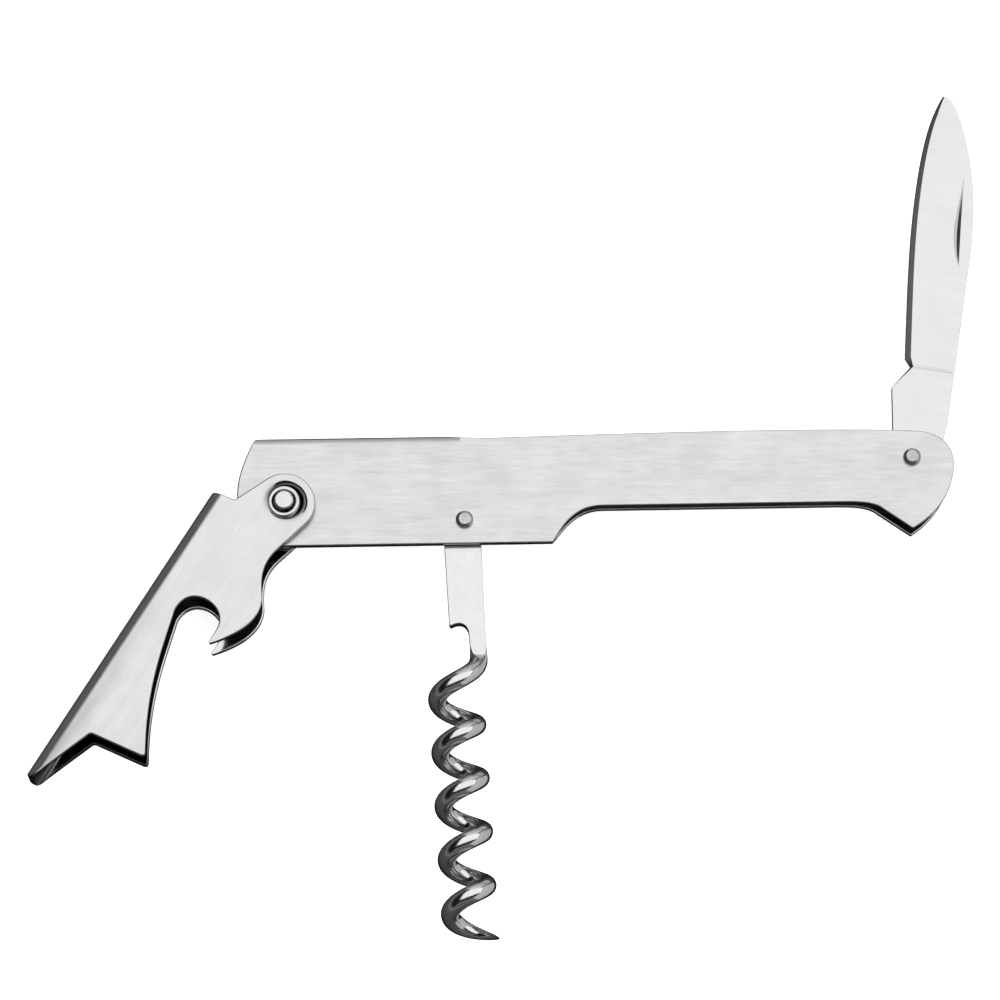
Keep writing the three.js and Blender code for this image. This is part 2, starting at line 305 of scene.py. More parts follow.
class Plate(Solid):
    """A solid whose vertices are given on the flat sheet, with their depth from its front face.
    place puts them in space, relief says how much lower the faces are, and shade is painted on the
    inner side, growing between the last argument's two x."""

    def __init__(self, thickness, place, relief, painted_shade):
        super().__init__()
        self.thickness, self.place, self.relief, self.painted_shade = thickness, place, relief, painted_shade
        self.flat = []

    def add_flat(self, points, depth, slope, rounding=0.0, cut=0.0, pressed=False):
        """Vertices at these points, marked for how rounded, cut or pressed the sheet is there."""
        depth = np.broadcast_to(depth, len(points))
        within = depth > self.thickness / 2
        # Painted shade on cut edges, darker the more sideways they face.
        shade_share = CUT_PAINTED_SHADE * cut
        # Painted shade inside the U, growing along x between the two given x.
        if self.painted_shade:
            shade_share = np.maximum(shade_share, within * np.interp(points[:, 0], self.painted_shade, (0, 1)))
        if pressed:
            within = np.maximum(within, PRESSED_SMOOTH * np.clip(depth / SMOOTH_FROM, 0, 1))
            # Painted shade in a pressed hole, darkest from a depth on.
            shade_share = np.maximum(shade_share, np.clip(depth / DARKEST_FROM, 0, 1))
        if self.relief:
            slope = slope + self.leaning(points) * np.abs(slope[:, 2:])
            depth = depth + np.where(within, -1, 1) * self.relief(points)
        places, basis = self.place(points, depth)
        self.flat.append(points)
        return self.add(places, np.einsum("nij,nj->ni", basis, slope), (rounding, within, shade_share))

    def leaning(self, points, step=0.02):
        """How the normals lean where the faces get lower."""
        falls = [
            (self.relief(points + ahead) - self.relief(points - ahead)) / (2 * step)
            for ahead in ((step, 0), (0, step))
        ]
        return np.column_stack([*falls, np.zeros(len(points))])

    def add_rim(self, loop, rim, mitre, pressed):
        """The rows of a rim's vertices, from face to face. mitre is the way out at each point."""
        unit = mitre / np.linalg.norm(mitre, axis=1)[:, None]
        along = np.gradient(rim, axis=0)
        slant = np.stack([along[..., 1], -along[..., 0]], axis=-1)
        slant /= np.linalg.norm(slant, axis=-1)[..., None]
        slant[:2], slant[-2:] = (0, 1), (0, -1)
        rows = []
        for ring, lean in zip(rim, slant):
            points = untangled(loop - ring[:, :1] * mitre, loop)
            slope = np.column_stack([unit * lean[:, :1], lean[:, 1]])
            rounding, cut = (2 * lean[:, 0] * lean[:, 1]) ** 2, lean[:, 0] ** 4
            rows.append(self.add_flat(points, ring[:, 1], slope, rounding, cut, pressed))
        return rows

    def add_pocket(self, points, depth, border, faces):
        """A hollow in the front face. Returns the vertices of its border, which lie flat."""
        slope = np.full((len(points), 3), np.nan)
        slope[border] = (0, 0, 1)
        vertices = self.add_flat(points, depth, slope)
        self.faces += [[int(vertices[corner]) for corner in face] for face in faces]
        return vertices[border]

    def fill_face(self, rings, extra, creases):
        """Triangles inside the first ring and outside the others, through the extra vertices."""
        corners = np.concatenate([*rings, extra])
        ends = np.cumsum([len(ring) for ring in rings])
        loops = np.split(np.arange(ends[-1]), ends[:-1])
        fill = filled(np.concatenate(self.flat)[corners], loops, list(creases))
        self.faces += [[int(corners[corner]) for corner in face] for face in fill]


def build_plate(
    loops, rims, place, creases=(), inner=(), pocket=None, relief=None, open_edge=None, painted_shade=None
):
    """A plate or bent sheet: an outline and its holes, each with a rim of rings from face to face.
    A hole whose rim differs from point to point is a pressed one. inner are more points on both
    faces, pocket is a hollow in the front one, and the rim is left off the outline's open edge.
    Returns the solid and its section at the open edge."""
    rims = [rim if rim.ndim == 3 else rim[:, None] for rim in rims]
    thickness = rims[0][-1, 0, 1]
    solid = Plate(thickness, place, relief, painted_shade)
    faces_edges, section = [], None
    for number, (loop, rim) in enumerate(zip(loops, rims)):
        given = np.array(loop, float)
        loop = turning(given, -1 if number else 1)
        if not number and loop is not given:
            creases = [(len(loop) - 1 - a, len(loop) - 1 - b) for a, b in creases]
            rim = rim[:, ::-1]
        pressed = number > 0 and rim.shape[1] > 1
        rim = np.broadcast_to(rim, (len(rim), len(loop), 2))
        opening = None if number else open_edge
        rows = solid.add_rim(loop, rim, outward(loop, opening), pressed)
        faces_edges.append((rows[0], rows[-1]))
        if opening is not None:
            rows = [np.roll(row, -opening - 1) for row in rows]
            section = [row[-1] for row in rows], [row[0] for row in rows]
        for low, high in zip(rows, rows[1:]):
            solid.join(low, high, closed=opening is None)

    for side, up in enumerate((1, -1)):
        rings = [rows[side] for rows in faces_edges]
        extra = np.array([], int)
        if len(inner):
            slope = np.tile([0, 0, up], (len(inner), 1))
            extra = solid.add_flat(np.array(inner), side * thickness, slope)
        if pocket and not side:
            rings.append(solid.add_pocket(*pocket))
        solid.fill_face(rings, extra, creases)
    return solid, section


# ---- turned pieces ----


def fillet(points, radius, closed=False, steps=5):
    """The line with its corners rounded. A radius per point, or one for all."""
    points = np.array(points, float)
    radii = np.broadcast_to(radius, len(points))
    rounded = []
    for i, point in enumerate(points):
        if not closed and i in (0, len(points) - 1):
            rounded.append(point)
            continue
        sides = points[i - 1] - point, points[(i + 1) % len(points)] - point
        lengths = [np.linalg.norm(side) for side in sides]
        cosine = (sides[0] @ sides[1]) / (lengths[0] * lengths[1])
        half = math.acos(max(-1, min(1, cosine))) / 2
        reach = min(radii[i] / math.tan(half), 0.49 * min(lengths))
        start, end = (point + side * reach / length for side, length in zip(sides, lengths))
        for t in np.linspace(0, 1, steps):
            rounded.append(start * (1 - t) ** 2 + 2 * point * t * (1 - t) + end * t * t)
    return np.array(rounded)


def build_turned(profile, closed=False, centre=(0, 0), segments=72):
    """A piece turned about z through the centre, from [radius, height] points, bottom first. A
    ring's profile is closed: it meets itself."""
    solid = Solid()
    profile = np.array(profile, float)
    if closed:
        along = np.roll(profile, -1, axis=0) - np.roll(profile, 1, axis=0)
    else:
        along = np.gradient(profile, axis=0)
    slope = np.column_stack([along[:, 1], -along[:, 0]])
    slope /= np.linalg.norm(slope, axis=1)[:, None]
    round_x, round_y = np.cos(around(segments)), np.sin(around(segments))
    rows = []
    for (radius, height), (lean, up) in zip(profile, slope):
        places = np.column_stack(
            [centre[0] + radius * round_x, centre[1] + radius * round_y, np.full(segments, height)]
        )
        normals = np.column_stack([lean * round_x, lean * round_y, np.full(segments, up)])
        rows.append(solid.add(places, normals, ((2 * lean * up) ** 2, 0.0, 0.0)))
    for low, high in zip(rows, rows[1:]):
        solid.join(low, high)
    if closed:
        solid.join(rows[-1], rows[0])
    return solid


def both_ends(profile):
    """The profile of one end of a turned piece, with the other end before it."""
    lower = [(radius, -height) for radius, height in profile[::-1]]
    return lower + list(profile)


# ---- the pieces' shapes ----


def build_handle():
    """A channel, folded along its top edge from the lever's end to fold_end, where a fine slit
    parts the fold from the free walls. The back wall is a little shorter than the front one."""
    bend, top, fold_end, slit, bush_hole = 1.5, 11.5, 28.4, 0.012, 2.01
    fold = Fold(top, -1, HANDLE_WIDTH, bend, free_from=fold_end + slit / 2)
    left = Outline(-4.75, top).curve((-6.2, 8.3), (-7.65, 5.3), (-7.65, 1.8)).points
    tangent_x = float(np.interp(-fold.centre, [-y for _, y in left], [x for x, _ in left]))

    def wall(bottom, recess, bulge):
        """From the fold's near end, down round the beak and back to the fold's far end. bottom is
        the lower edge, recess the edge over the folded worm, bulge what the beak is short of."""
        return (
            Outline(tangent_x, fold.centre)
            .line(*[point for point in left if point[1] < fold.centre - 0.1])
            .line((-7.65, -0.4))
            .curve((-7.65, bottom), (-1.3, bottom))
            .line((43, bottom))
            .curve((44.6, -4.2), (46.3, recess - 0.1), (51, recess))
            .line((88, recess))
            .curve((91.5, recess), (94, recess), (95.6, -1.7))
            .line((100.8, -5.42))
            .curve((104.7 - bulge, -3.2), (107.4 - bulge, 0.2), (107.9 - bulge, 5.2))
            .curve((107.9 - bulge, 8.2), (106.3, 10.3), (102.8, 10.9))
            .curve((88.6, 12.05), (32, 10.85), step=2.5)
            .line((fold_end + slit, 11.1), (fold_end + slit, fold.centre), (fold_end, fold.centre))
            .points
        )

    near_end = [point for point in left if point[1] >= fold.centre] + [(tangent_x, fold.centre)]
    far_end = [(fold_end, fold.centre), (fold_end, 11.26), (26, top)]
    front, back = wall(-6.8, -0.85, 0.0), wall(-5.7, -0.3, 0.4)
    outline, creases = fold.unroll(front, back, near_end, far_end)
    holes = []
    for hole, (x, y) in ((bush_hole, (0, 0)), (PIN_HOLE, KNIFE_PIVOT), (PIN_HOLE, WORM_PIVOT)):
        for sign in (1, -1):
            holes.append(circle(hole, (x, sign * fold.along(y))))
    # The edges beside the slit are sharp, so that it hardly shows.
    by_slit = np.abs(outline[:, 0] - fold_end - slit / 2) < 0.1
    radii = np.where(by_slit, 0.002, 0.24)
    edges = np.stack([rounded_rim(HANDLE_SHEET, radius, radius / 2) for radius in radii], axis=1)
    rims = [edges] + [rounded_rim(HANDLE_SHEET, 0.05, 0.05)] * len(holes)
    return build_plate([outline, *holes], rims, fold.place, creases)[0]


def lever_eye(hole, thickness, way):
    """The rings of the rim of the lever's eye. The sheet is dished round the hole, deeper away
    from the foot, so that the eyelet's rim sits in a hollow, and it bulges on the inner side.
    way is -1 on the back wall, where the unrolled sheet is upside down."""
    lip, sloping, steepness = 3.9, 1.35, 1.3
    shallowest, deeper, deepest_at = 0.03, 0.69, math.radians(182)
    # Distances from the pivot. Towards the hole the front's corner adds to its depth.
    outer = [3.95, 3.85, 3.75, 3.65, 3.55, 3.4, 3.25, 3.1, 2.95, 2.8, 2.65, 2.5, 2.25, 2.12]
    front_side = [(distance, 0.0) for distance in outer] + [(2.04, 0.03), (hole, 0.1)]
    inner_side = [(hole, 1.3), (2.04, 1.37), (2.12, 1.4), (2.4, 1.4), (2.8, 1.33), (3.1, 1.22)]
    inner_side += [(3.4, 1.13), (3.6, thickness), (3.95, thickness)]
    spokes = []
    # A hole's loop runs clockwise from x.
    for turn in way * around()[::-1]:
        away = 0.5 + 0.5 * math.cos(turn - deepest_at)
        deep = shallowest + deeper * away**steepness
        front = []
        for distance, corner in front_side:
            near = min(1, max(0, lip - distance) / sloping)
            front.append((distance, deep * near**steepness + corner))
        spokes.append([(distance - hole, depth) for distance, depth in front + inner_side])
    return np.array(spokes).transpose(1, 0, 2)


def build_lever():
    """A sheet folded along its spine, with an eye, a hook for caps and a notched foot."""
    width, sheet, bend, spine, eye, hole = 8.4, 1.1, 2.2, -11.1, 4.95, 2.02
    fold = Fold(spine, 1, width, bend)
    top_end = [(4.2, spine), (3.93, fold.centre)]
    foot = Outline(57.6, -9.4).curve((58.9, -9.9), (58.9, spine)).points
    # Where the notch's outer side, which runs on to the foot's tip, meets the fold.
    foot_x = 48.6 + (57.6 - 48.6) * (-6.0 - fold.centre) / (-6.0 + 9.4)
    wall = (
        Outline(3.93, fold.centre)
        .line((3.75, -7.4))
        .curve((3.7, -7.05), (3.3, -6.9))
        .arc(eye, 247, 75)
        .line((7.2, 3.2))
        .curve((10.3, 2.4), (12.2, 3.3), (14.8, 5.2))
        .curve((17.3, 7.0), (21.2, 6.6), (25.9, 2.35))
        .line((25.7, 2.03))
        .curve((23.6, 2.1), (22.0, 2.2), (20.8, 0.6))
        .curve((19.4, -1.6), (20.0, -5.6), (24.1, -5.4))
        .curve((30.5, -3.6), (37.0, -2.4), (46.1, 3.2))
        .curve((47.0, 3.75), (47.1, 2.6))
        .line((48.1, -5.4))
        .curve((48.15, -5.85), (48.6, -6.0))
        .line((foot_x, fold.centre))
        .points
    )
    outline, creases = fold.unroll(wall, wall, top_end, [(foot_x, fold.centre), *foot])
    # The edges are rounded less towards the hooks' narrow tips.
    tips = np.array([(25.8, sign * fold.along(2.2)) for sign in (1, -1)])
    to_tip = np.linalg.norm(outline[:, None] - tips, axis=2).min(axis=1)
    radii = np.interp(to_tip, [0, 3.5], [0.07, 0.28])
    edges = np.stack([rounded_rim(sheet, radius, 0.36 * radius) for radius in radii], axis=1)
    eyes = [circle(hole, (0, sign * fold.along(0))) for sign in (1, -1)]
    dishes = [lever_eye(hole, sheet, sign) for sign in (1, -1)]
    # Shade is painted inside the U towards the foot, growing from x 34 to 46.
    return build_plate([outline, *eyes], [edges, *dishes], fold.place, creases, painted_shade=(34, 46))[0]


def nail_nick():
    """A hollow with one straight side, which slopes, and one curved one, which is steeper: its
    points, their depths, the border's point numbers in order, and its faces."""
    start, end = np.array([50.3, -2.2]), np.array([34.0, -3.4])
    widest, deepest = 1.2, 0.42
    # Each row crosses the hollow, and is deepest about six tenths of the way over.
    across = np.array([-(end - start)[1], (end - start)[0]])
    across *= -1 / np.linalg.norm(across)
    steps = np.linspace(0, 1, 41)
    shares = np.array([0, 0.04, 0.2, 0.4, 0.56, 0.62, 0.7, 0.8, 0.9, 1.0])
    fall = np.where(shares < 0.6, shares / 0.6, ((1 - shares) / 0.4) ** 1.5)
    points, depth = [start, end], [0.0, 0.0]
    faces, rows = [], []
    for t in steps[1:-1]:
        spread = math.sin(math.pi * t**1.6)
        rows.append([len(points) + i for i in range(len(shares))])
        for share, drop in zip(shares, fall):
            points.append(start + (end - start) * t + across * widest * spread * share)
            depth.append(deepest * spread**0.7 * drop)
    for low, high in zip(rows, rows[1:]):
        faces += [[low[i], low[i + 1], high[i + 1], high[i]] for i in range(len(low) - 1)]
    faces += [[0, rows[0][i + 1], rows[0][i]] for i in range(len(shares) - 1)]
    faces += [[1, rows[-1][i], rows[-1][i + 1]] for i in range(len(shares) - 1)]
    border = [0, *[row[0] for row in rows], 1, *[row[-1] for row in reversed(rows)]]
    return np.array(points), np.array(depth), border, faces


def build_blade():
    """A blade with a round tang, a straight back and a ground edge, which meets the tang at a
    notch. The outline runs round the tang, along the back to the point, and down the edge."""
    tang, spine, half_edge = 4.3, -5.05, 0.06
    heel = Outline(0, 0).arc(tang, 50, 270).points[1:]
    back = (
        Outline(*heel[0])
        .line(*heel[1:], (7.5, spine), (37, spine))
        .curve((46, -4.9), (54, -3.2), (61.2, 0.5))
        .curve((62.9, 1.6), (63.2, 2.95))
        .points
    )
    belly = Outline(*back[-1]).curve((59, 4.7), (54, 5.25), (46, 5.25))
    edge = belly.curve((37, 5.25), (29, 4.4), (17.1, 3.25)).points[1:]
    outline = np.array(back + edge + [(15.85, 2.2), (11.9, 4.7)])
    # The ground edge is a narrow steep strip that runs from the point to the notch at the tang.
    # It is ground from both faces, and runs out just past both ends.
    no_strip = 0.1
    stations, widths = [17, 30, 55, 60, 63.2], [0.98, 0.94, 0.82, 0.7, 0.35]
    width = np.full(len(outline), no_strip)
    strip = slice(len(back), len(back) + len(edge))
    width[strip] = np.interp(outline[strip, 0], stations, widths)
    width[strip.start - 1], width[strip.stop] = 0.15, 0.4
    plain = rounded_rim(TANG_THICKNESS, 0.1)
    fall = TANG_THICKNESS / 2 - half_edge
    shares = np.array([1.0, 1.0, 0.97, 0.6, 0.3, 0.0])
    rims = np.tile(plain[:, None], (1, len(outline), 1))
    for i in np.flatnonzero(width > no_strip):
        one_side = np.column_stack([shares * width[i], (1 - shares) * fall])
        one_side[0, 0] += 0.1
        other_side = np.column_stack([one_side[::-1, 0], TANG_THICKNESS - one_side[::-1, 1]])
        rims[:, i] = np.concatenate([one_side, other_side])

    def ground(points):
        """The blade is ground a little thinner than the tang, from a shallow groove on."""
        start, run, groove_at, half_groove = 15.7, 1.2, 15.95, 0.4
        x = points[:, 0]
        thinner = eased(np.clip((x - start) / run, 0, 1))
        groove = eased(np.clip(1 - np.abs(x - groove_at) / half_groove, 0, 1))
        return 0.06 * thinner + 0.09 * groove

    # The faces need more points where they bend, across the blade from back to edge.
    inner = [(x, y) for x in np.arange(15.3, 17.1, 0.1) for y in np.arange(-4.6, 1.6, 0.45)]
    return build_plate(
        [outline, circle(PIN_HOLE)],
        [rims, rounded_rim(TANG_THICKNESS, 0.05, 0.05)],
        lies_flat(TANG_THICKNESS),
        inner=inner,
        pocket=nail_nick(),
        relief=ground,
    )[0]


def wire_radius(x):
    """The wire narrows to its point over the last part of a turn."""
    taper, point = PITCH * 0.4, 0.06
    share = np.clip(1 - (WORM_END - x) / taper, 0, 1)
    return WIRE + (point - WIRE) * share**1.5


def worm_line(x):
    """The middle of the wire: down the neck, then a right-handed helix. The neck runs into the
    helix over a share of a turn on each side of START."""
    ease = 0.3
    turn = (x - START) / PITCH
    turned = np.where(turn > ease, turn, np.maximum(0, turn + ease) ** 2 / (4 * ease))
    settled = eased(np.clip((turn + ease) / (2 * ease), 0, 1))
    radius = (NECK - AXIS) * (1 - settled) + (OUTER - wire_radius(x)) * settled
    angle = 2 * math.pi * turned
    return np.column_stack([x, AXIS + radius * np.cos(angle), radius * np.sin(angle)])


def worm_section(contour, half_width, half_depth, corner, roundness):
    """One ring of the wire: the neck's section, drawn out to a circle as roundness goes to 1.
    contour holds each vertex's side, its angle on the neck's corner and on the circle, and its
    step in from the corner. Returns places and normals, each across and up."""
    side, angle, even, step_in = contour
    turn = angle + (even - angle) * roundness
    lean, up = np.cos(turn), np.sin(turn)
    reach = half_width - corner + corner * lean - step_in * (1 - roundness)
    rise = np.sign(even) * (half_depth - corner) + corner * up
    return side * reach, rise, side * lean, up


def build_shank(neck_start, corner, border, segments):
    """The worm's flat shank, with a notch at its end, and its section where the neck starts."""
    outline = (
        Outline(neck_start, -0.42)
        .line((18.5, -0.45))
        .curve((17.2, -0.5), (16.75, -1.4))
        .curve((16.45, -2.2), (17.0, -3.25))
        .line((16.6, -3.5), (0, -3.5))
        .curve((-3.9, -3.5), (-3.9, 2.5), (0, 2.5))
        .line((neck_start, 2.25))
        .points
    )
    # The outline runs clockwise from the neck's lower side to its upper one, so its open edge
    # is the first one once it is turned round and its last point put first.
    outline = np.roll(np.array(outline)[::-1], 1, axis=0)
    edge = rounded_rim(SHANK_THICKNESS, corner, border, segments)
    hole_edge = rounded_rim(SHANK_THICKNESS, 0.05, 0.05, segments)
    return build_plate(
        [outline, circle(PIN_HOLE)], [edge, hole_edge], lies_flat(SHANK_THICKNESS), open_edge=0
    )


def neck_contour(half, border, segments):
    """The neck's section as worm_section reads it: from the front round its upper side, side 1,
    to the back, and on round the lower one. half is half the number of vertices on a side."""
    angle = np.concatenate([[math.pi / 2], np.linspace(math.pi / 2, 0, segments + 1)])
    angle = np.concatenate([angle, -angle[::-1]])
    even = math.pi / 2 - (np.arange(2 * half) + 0.5) * math.pi / (2 * half)
    step_in = np.zeros(2 * half)
    step_in[[0, -1]] = border
    side = np.concatenate([np.ones(2 * half), -np.ones(2 * half)])
    return side, *(np.concatenate([part, part[::-1]]) for part in (angle, even, step_in))


def build_worm():
    """The shank, and the wire that goes on from it: each ring is joined to the one before."""
    neck_start, corner, border, segments = 20.0, 0.14, 0.1, 10
    neck_half_width, neck_middle, half_depth = 1.335, 0.915, SHANK_THICKNESS / 2
    # How far along the neck it is round, and its upper side, which is sooner.
    round_after, upper_round_after = 4.2, 2.4
    solid, (low, high) = build_shank(neck_start, corner, border, segments)
    contour = neck_contour(len(low) // 2, border, segments)
    previous = np.concatenate([high, low[::-1]])

    down_neck = np.linspace(neck_start, START, 26)[1:]
    round_helix = np.linspace(START, WORM_END, 290)[1:]
    travel = np.concatenate([down_neck, round_helix])
    line = worm_line(travel)
    tangents = np.gradient(line, axis=0)
    tangents /= np.linalg.norm(tangents, axis=1)[:, None]
    across = np.array([0.0, 1.0, 0.0])
    for x, middle, tangent in zip(travel, line, tangents):
        across = across - tangent * (across @ tangent)
        across /= np.linalg.norm(across)
        upward = np.cross(tangent, across)
        share = eased(np.clip((x - neck_start) / round_after, 0, 1))
        upper_share = eased(np.clip((x - neck_start) / upper_round_after, 0, 1))
        radius = float(wire_radius(x))
        out, rise, lean, up = worm_section(
            contour,
            neck_half_width + (radius - neck_half_width) * share,
            half_depth + (radius - half_depth) * share,
            corner + (radius - corner) * share,
            np.where(contour[0] > 0, upper_share, share),
        )
        shift = (neck_middle - NECK) * (1 - share)
        ring = middle + np.outer(out + shift, across) + np.outer(rise, upward)
        row = solid.add(ring, np.outer(lean, across) + np.outer(up, upward))
        solid.join(previous, row)
        previous = row
    point = solid.add([line[-1] + tangents[-1] * 0.08], [tangents[-1]])
    for here, beyond in zip(previous, np.roll(previous, -1)):
        solid.faces.append([int(here), int(beyond), int(point[0])])
    return solid


def build_handle_rivet(pivot):
    """A rivet through both walls, with a low domed head on each side."""
    face = HANDLE_WIDTH / 2 + 0.01
    head = fillet(
        [(1.2, face), (1.42, face), (1.42, face + 0.55), (1.05, face + 0.98), (0, face + 1.08)],
        [0.01, 0.05, 0.5, 0.6, 0],
    )
    return build_turned(both_ends(head), centre=pivot, segments=64)


def build_eyelet():
    """A bush with a rolled rim on each side."""
    rim = [(1.95, 3.8), (2.0, 4.2), (2.62, 4.45), (2.48, 5.3), (1.9, 5.3), (1.8, 4.6), (1.3, 4.2)]
    rim = fillet(rim, [0.01, 0.2, 0.2, 0.22, 0.22, 0.3, 0.3])
    return build_turned(both_ends(rim), closed=True)


def build_lever_rivet():
    """The pin inside the bush, with a low domed head on each side that stands above its rim."""
    head = fillet(
        [(1.22, 4.5), (1.56, 4.6), (1.56, 5.98), (1.34, 6.15), (0, 6.2)], [0.01, 0.1, 0.25, 0.2, 0]
    )
    return build_turned(both_ends(head))


def build_washer(radius, thickness, side, pivot):
    """A spacer between a wall, the front one if side is 1, and what turns on the pivot."""
    near = thickness / 2 + WASHER_PLAY
    far = HANDLE_WIDTH / 2 - HANDLE_SHEET - WASHER_PLAY
    low, high = sorted((side * near, side * far))
    ring = [(PIN_HOLE, low), (radius, low), (radius, high), (PIN_HOLE, high)]
    return build_turned(fillet(ring, 0.06, closed=True), closed=True, centre=pivot)


def build_spring():
    """A leaf from under the fold down to the tangs of the worm and the knife."""
    thickness, width = 1.0, 3.0
    high, low = 10.0, 1.35
    line = Outline(4.5, high).line((9, high))
    line.curve((14, high), (15, low), (21, low), step=0.8).line((99.4, low))
    middle = np.array(line.points)
    along = np.gradient(middle, axis=0)
    along /= np.linalg.norm(along, axis=1)[:, None]
    aside = np.column_stack([-along[:, 1], along[:, 0]]) * thickness / 2
    outline = np.concatenate([middle - aside, (middle + aside)[::-1]])
    return build_plate([outline], [rounded_rim(width, 0.15, 0.1)], lies_flat(width))[0]


# ---- materials ----


class Nodes:
    """Builds a material's nodes in few words."""

    def __init__(self, name):
        self.material = bpy.data.materials.new(name)
        self.material.use_nodes = True
        self.tree = self.material.node_tree
        self.shader = self.tree.nodes["Principled BSDF"]
        self.place = self.make("TexCoord").outputs["Object"]

    def make(self, kind, inputs=None, **settings):
        """A node with these settings, and a value or another node's socket for some inputs."""
        node = self.tree.nodes.new("ShaderNode" + kind)
        for key, value in settings.items():
            setattr(node, key, value)
        for key, value in (inputs or {}).items():
            self.put(node.inputs[key], value)
        return node

    def put(self, socket, value):
        """Links another node's socket to this one, or sets its value."""
        if isinstance(value, bpy.types.NodeSocket):
            self.tree.links.new(value, socket)
        else:
            socket.default_value = value

    def shade(self, name, value):
        """Sets one of the shader's inputs."""
        self.put(self.shader.inputs[name], value)

    def noise(self, scale, detail=4.0, roughness=0.55, offset=0.0):
        """Noise in the piece's own frame, with a scale in cycles per millimetre on each axis."""
        inputs = {"Vector": self.place, "Scale": [s / MM for s in scale], "Location": (offset,) * 3}
        place = self.make("Mapping", inputs).outputs[0]
        inputs = {"Vector": place, "Scale": 1.0, "Detail": detail, "Roughness": roughness}
        return self.make("TexNoise", inputs).outputs[0]

    def ranged(self, value, low, high, to_low, to_high):
        inputs = {0: value, 1: low, 2: high, 3: to_low, 4: to_high}
        return self.make("MapRange", inputs).outputs[0]

    def math(self, operation, a, b):
        return self.make("Math", {0: a, 1: b}, operation=operation).outputs[0]

    def sum(self, value, other, share):
        """The value and a share of the other."""
        return self.math("ADD", value, self.math("MULTIPLY", other, share))

    def less(self, value, other, share):
        """The value without a share of the other."""
        return self.math("SUBTRACT", value, self.math("MULTIPLY", other, share))

    def mixed(self, one, other, share):
        """Both, with that share of the other."""
        return self.sum(self.math("MULTIPLY", one, 1 - share), other, share)

    def attribute(self, name):
        return self.make("Attribute", attribute_name=name).outputs["Fac"]

    def grey(self, value):
        return self.make("CombineColor", {0: value, 1: value, 2: value}).outputs[0]


def brushed_steel(name, scale, base, along=(0, 1, 0), bump=0.4):
    """Stainless sheet: fine lines one way, cloudy patches, brighter, smoother worn edges and
    painted shade. scale is the lines' cycles per millimetre on each axis, and along is across the
    lines."""
    rough = (0.25, 0.35)
    nodes = Nodes(name)
    lines = nodes.noise(scale, detail=3.0, roughness=0.6)
    coarse = nodes.noise([s * 0.35 for s in scale], detail=2.0, offset=3.1)
    clouds = nodes.noise((0.16, 0.16, 0.16), detail=3.0, offset=7.7)
    patches = nodes.noise((0.7, 0.7, 0.7), offset=1.3)
    worn = nodes.math("MULTIPLY", nodes.attribute("rim"), patches)
    grain = nodes.mixed(lines, coarse, 0.4)
    tone = nodes.mixed(grain, clouds, 0.35)
    value = nodes.sum(nodes.ranged(tone, 0.25, 0.75, *base), worn, 0.12)
    # Painted shade: the colour is darkened on cut edges, in pressed hollows and inside the U, as
    # the vertices' mark says.
    value = nodes.math("MULTIPLY", value, nodes.less(1.0, nodes.attribute("painted_shade"), 0.85))
    nodes.shade("Base Color", nodes.grey(value))
    roughness = nodes.less(nodes.ranged(tone, 0.25, 0.75, rough[1], rough[0]), worn, 0.08)
    smoother = nodes.less(1.0, nodes.attribute("within"), 0.7)
    roughness = nodes.math("MULTIPLY", roughness, smoother)
    nodes.shade("Roughness", roughness)
    nodes.shade("Metallic", 1.0)
    nodes.shade("Anisotropic", 0.5)
    spaces = {"convert_from": "OBJECT", "convert_to": "WORLD"}
    direction = nodes.make("VectorTransform", {0: along}, vector_type="VECTOR", **spaces)
    nodes.shade("Tangent", direction.outputs[0])
    relief = nodes.make("Bump", {"Height": grain, "Distance": 0.006 * MM, "Strength": bump})
    nodes.shade("Normal", relief.outputs[0])
    return nodes.material


def polished_steel(name, base, rough, bump=0.3):
    """Bright steel: fine mottling over faint clouds, in its tone, its polish and its surface."""
    nodes = Nodes(name)
    clouds = nodes.noise((0.5, 0.5, 0.5), detail=4.0, offset=2.3)
    fine = nodes.noise((2.0, 2.0, 2.0), detail=3.0, roughness=0.6, offset=5.1)
    tone = nodes.mixed(clouds, fine, 0.4)
    nodes.shade("Base Color", nodes.grey(nodes.ranged(tone, 0.3, 0.7, *base)))
    nodes.shade("Roughness", nodes.ranged(tone, 0.3, 0.7, rough[1], rough[0]))
    nodes.shade("Metallic", 1.0)
    relief = nodes.make("Bump", {"Height": tone, "Distance": 0.01 * MM, "Strength": bump})
    nodes.shade("Normal", relief.outputs[0])
    return nodes.material


# ---- the pieces ----


def make_mesh(name, solid):
    """The solid's mesh, with its marks as attributes and its own normals where it gives them."""
    mesh = bpy.data.meshes.new(name)
    mesh.from_pydata((np.concatenate(solid.places) * MM).tolist(), [], solid.faces)
    marks, normals = np.concatenate(solid.marks), np.nan_to_num(np.concatenate(solid.normals))
    for key, values in zip(("rim", "within", "painted_shade"), marks.T):
        layer = mesh.attributes.new(key, "FLOAT", "POINT")
        layer.data.foreach_set("value", values.astype(np.float32))
    # The normals are kept as an attribute while vertices that meet are joined.
    layer = mesh.attributes.new("own_normal", "FLOAT_VECTOR", "POINT")
    layer.data.foreach_set("vector", normals.astype(np.float32).ravel())
    work = bmesh.new()
    work.from_mesh(mesh)
    bmesh.ops.remove_doubles(work, verts=work.verts, dist=1e-4 * MM)
    bmesh.ops.recalc_face_normals(work, faces=work.faces)
    work.to_mesh(mesh)
    work.free()
    mesh.shade_smooth()
    computed, wanted = np.empty((2, len(mesh.vertices) * 3))
    mesh.vertices.foreach_get("normal", computed)
    mesh.attributes["own_normal"].data.foreach_get("vector", wanted)
    computed, wanted = computed.reshape(-1, 3), wanted.reshape(-1, 3)
    unset = np.linalg.norm(wanted, axis=1) < 0.1
    wanted[unset] = computed[unset]
    mesh.attributes.remove(mesh.attributes["own_normal"])
    mesh.normals_split_custom_set_from_vertices(wanted.tolist())
    return mesh


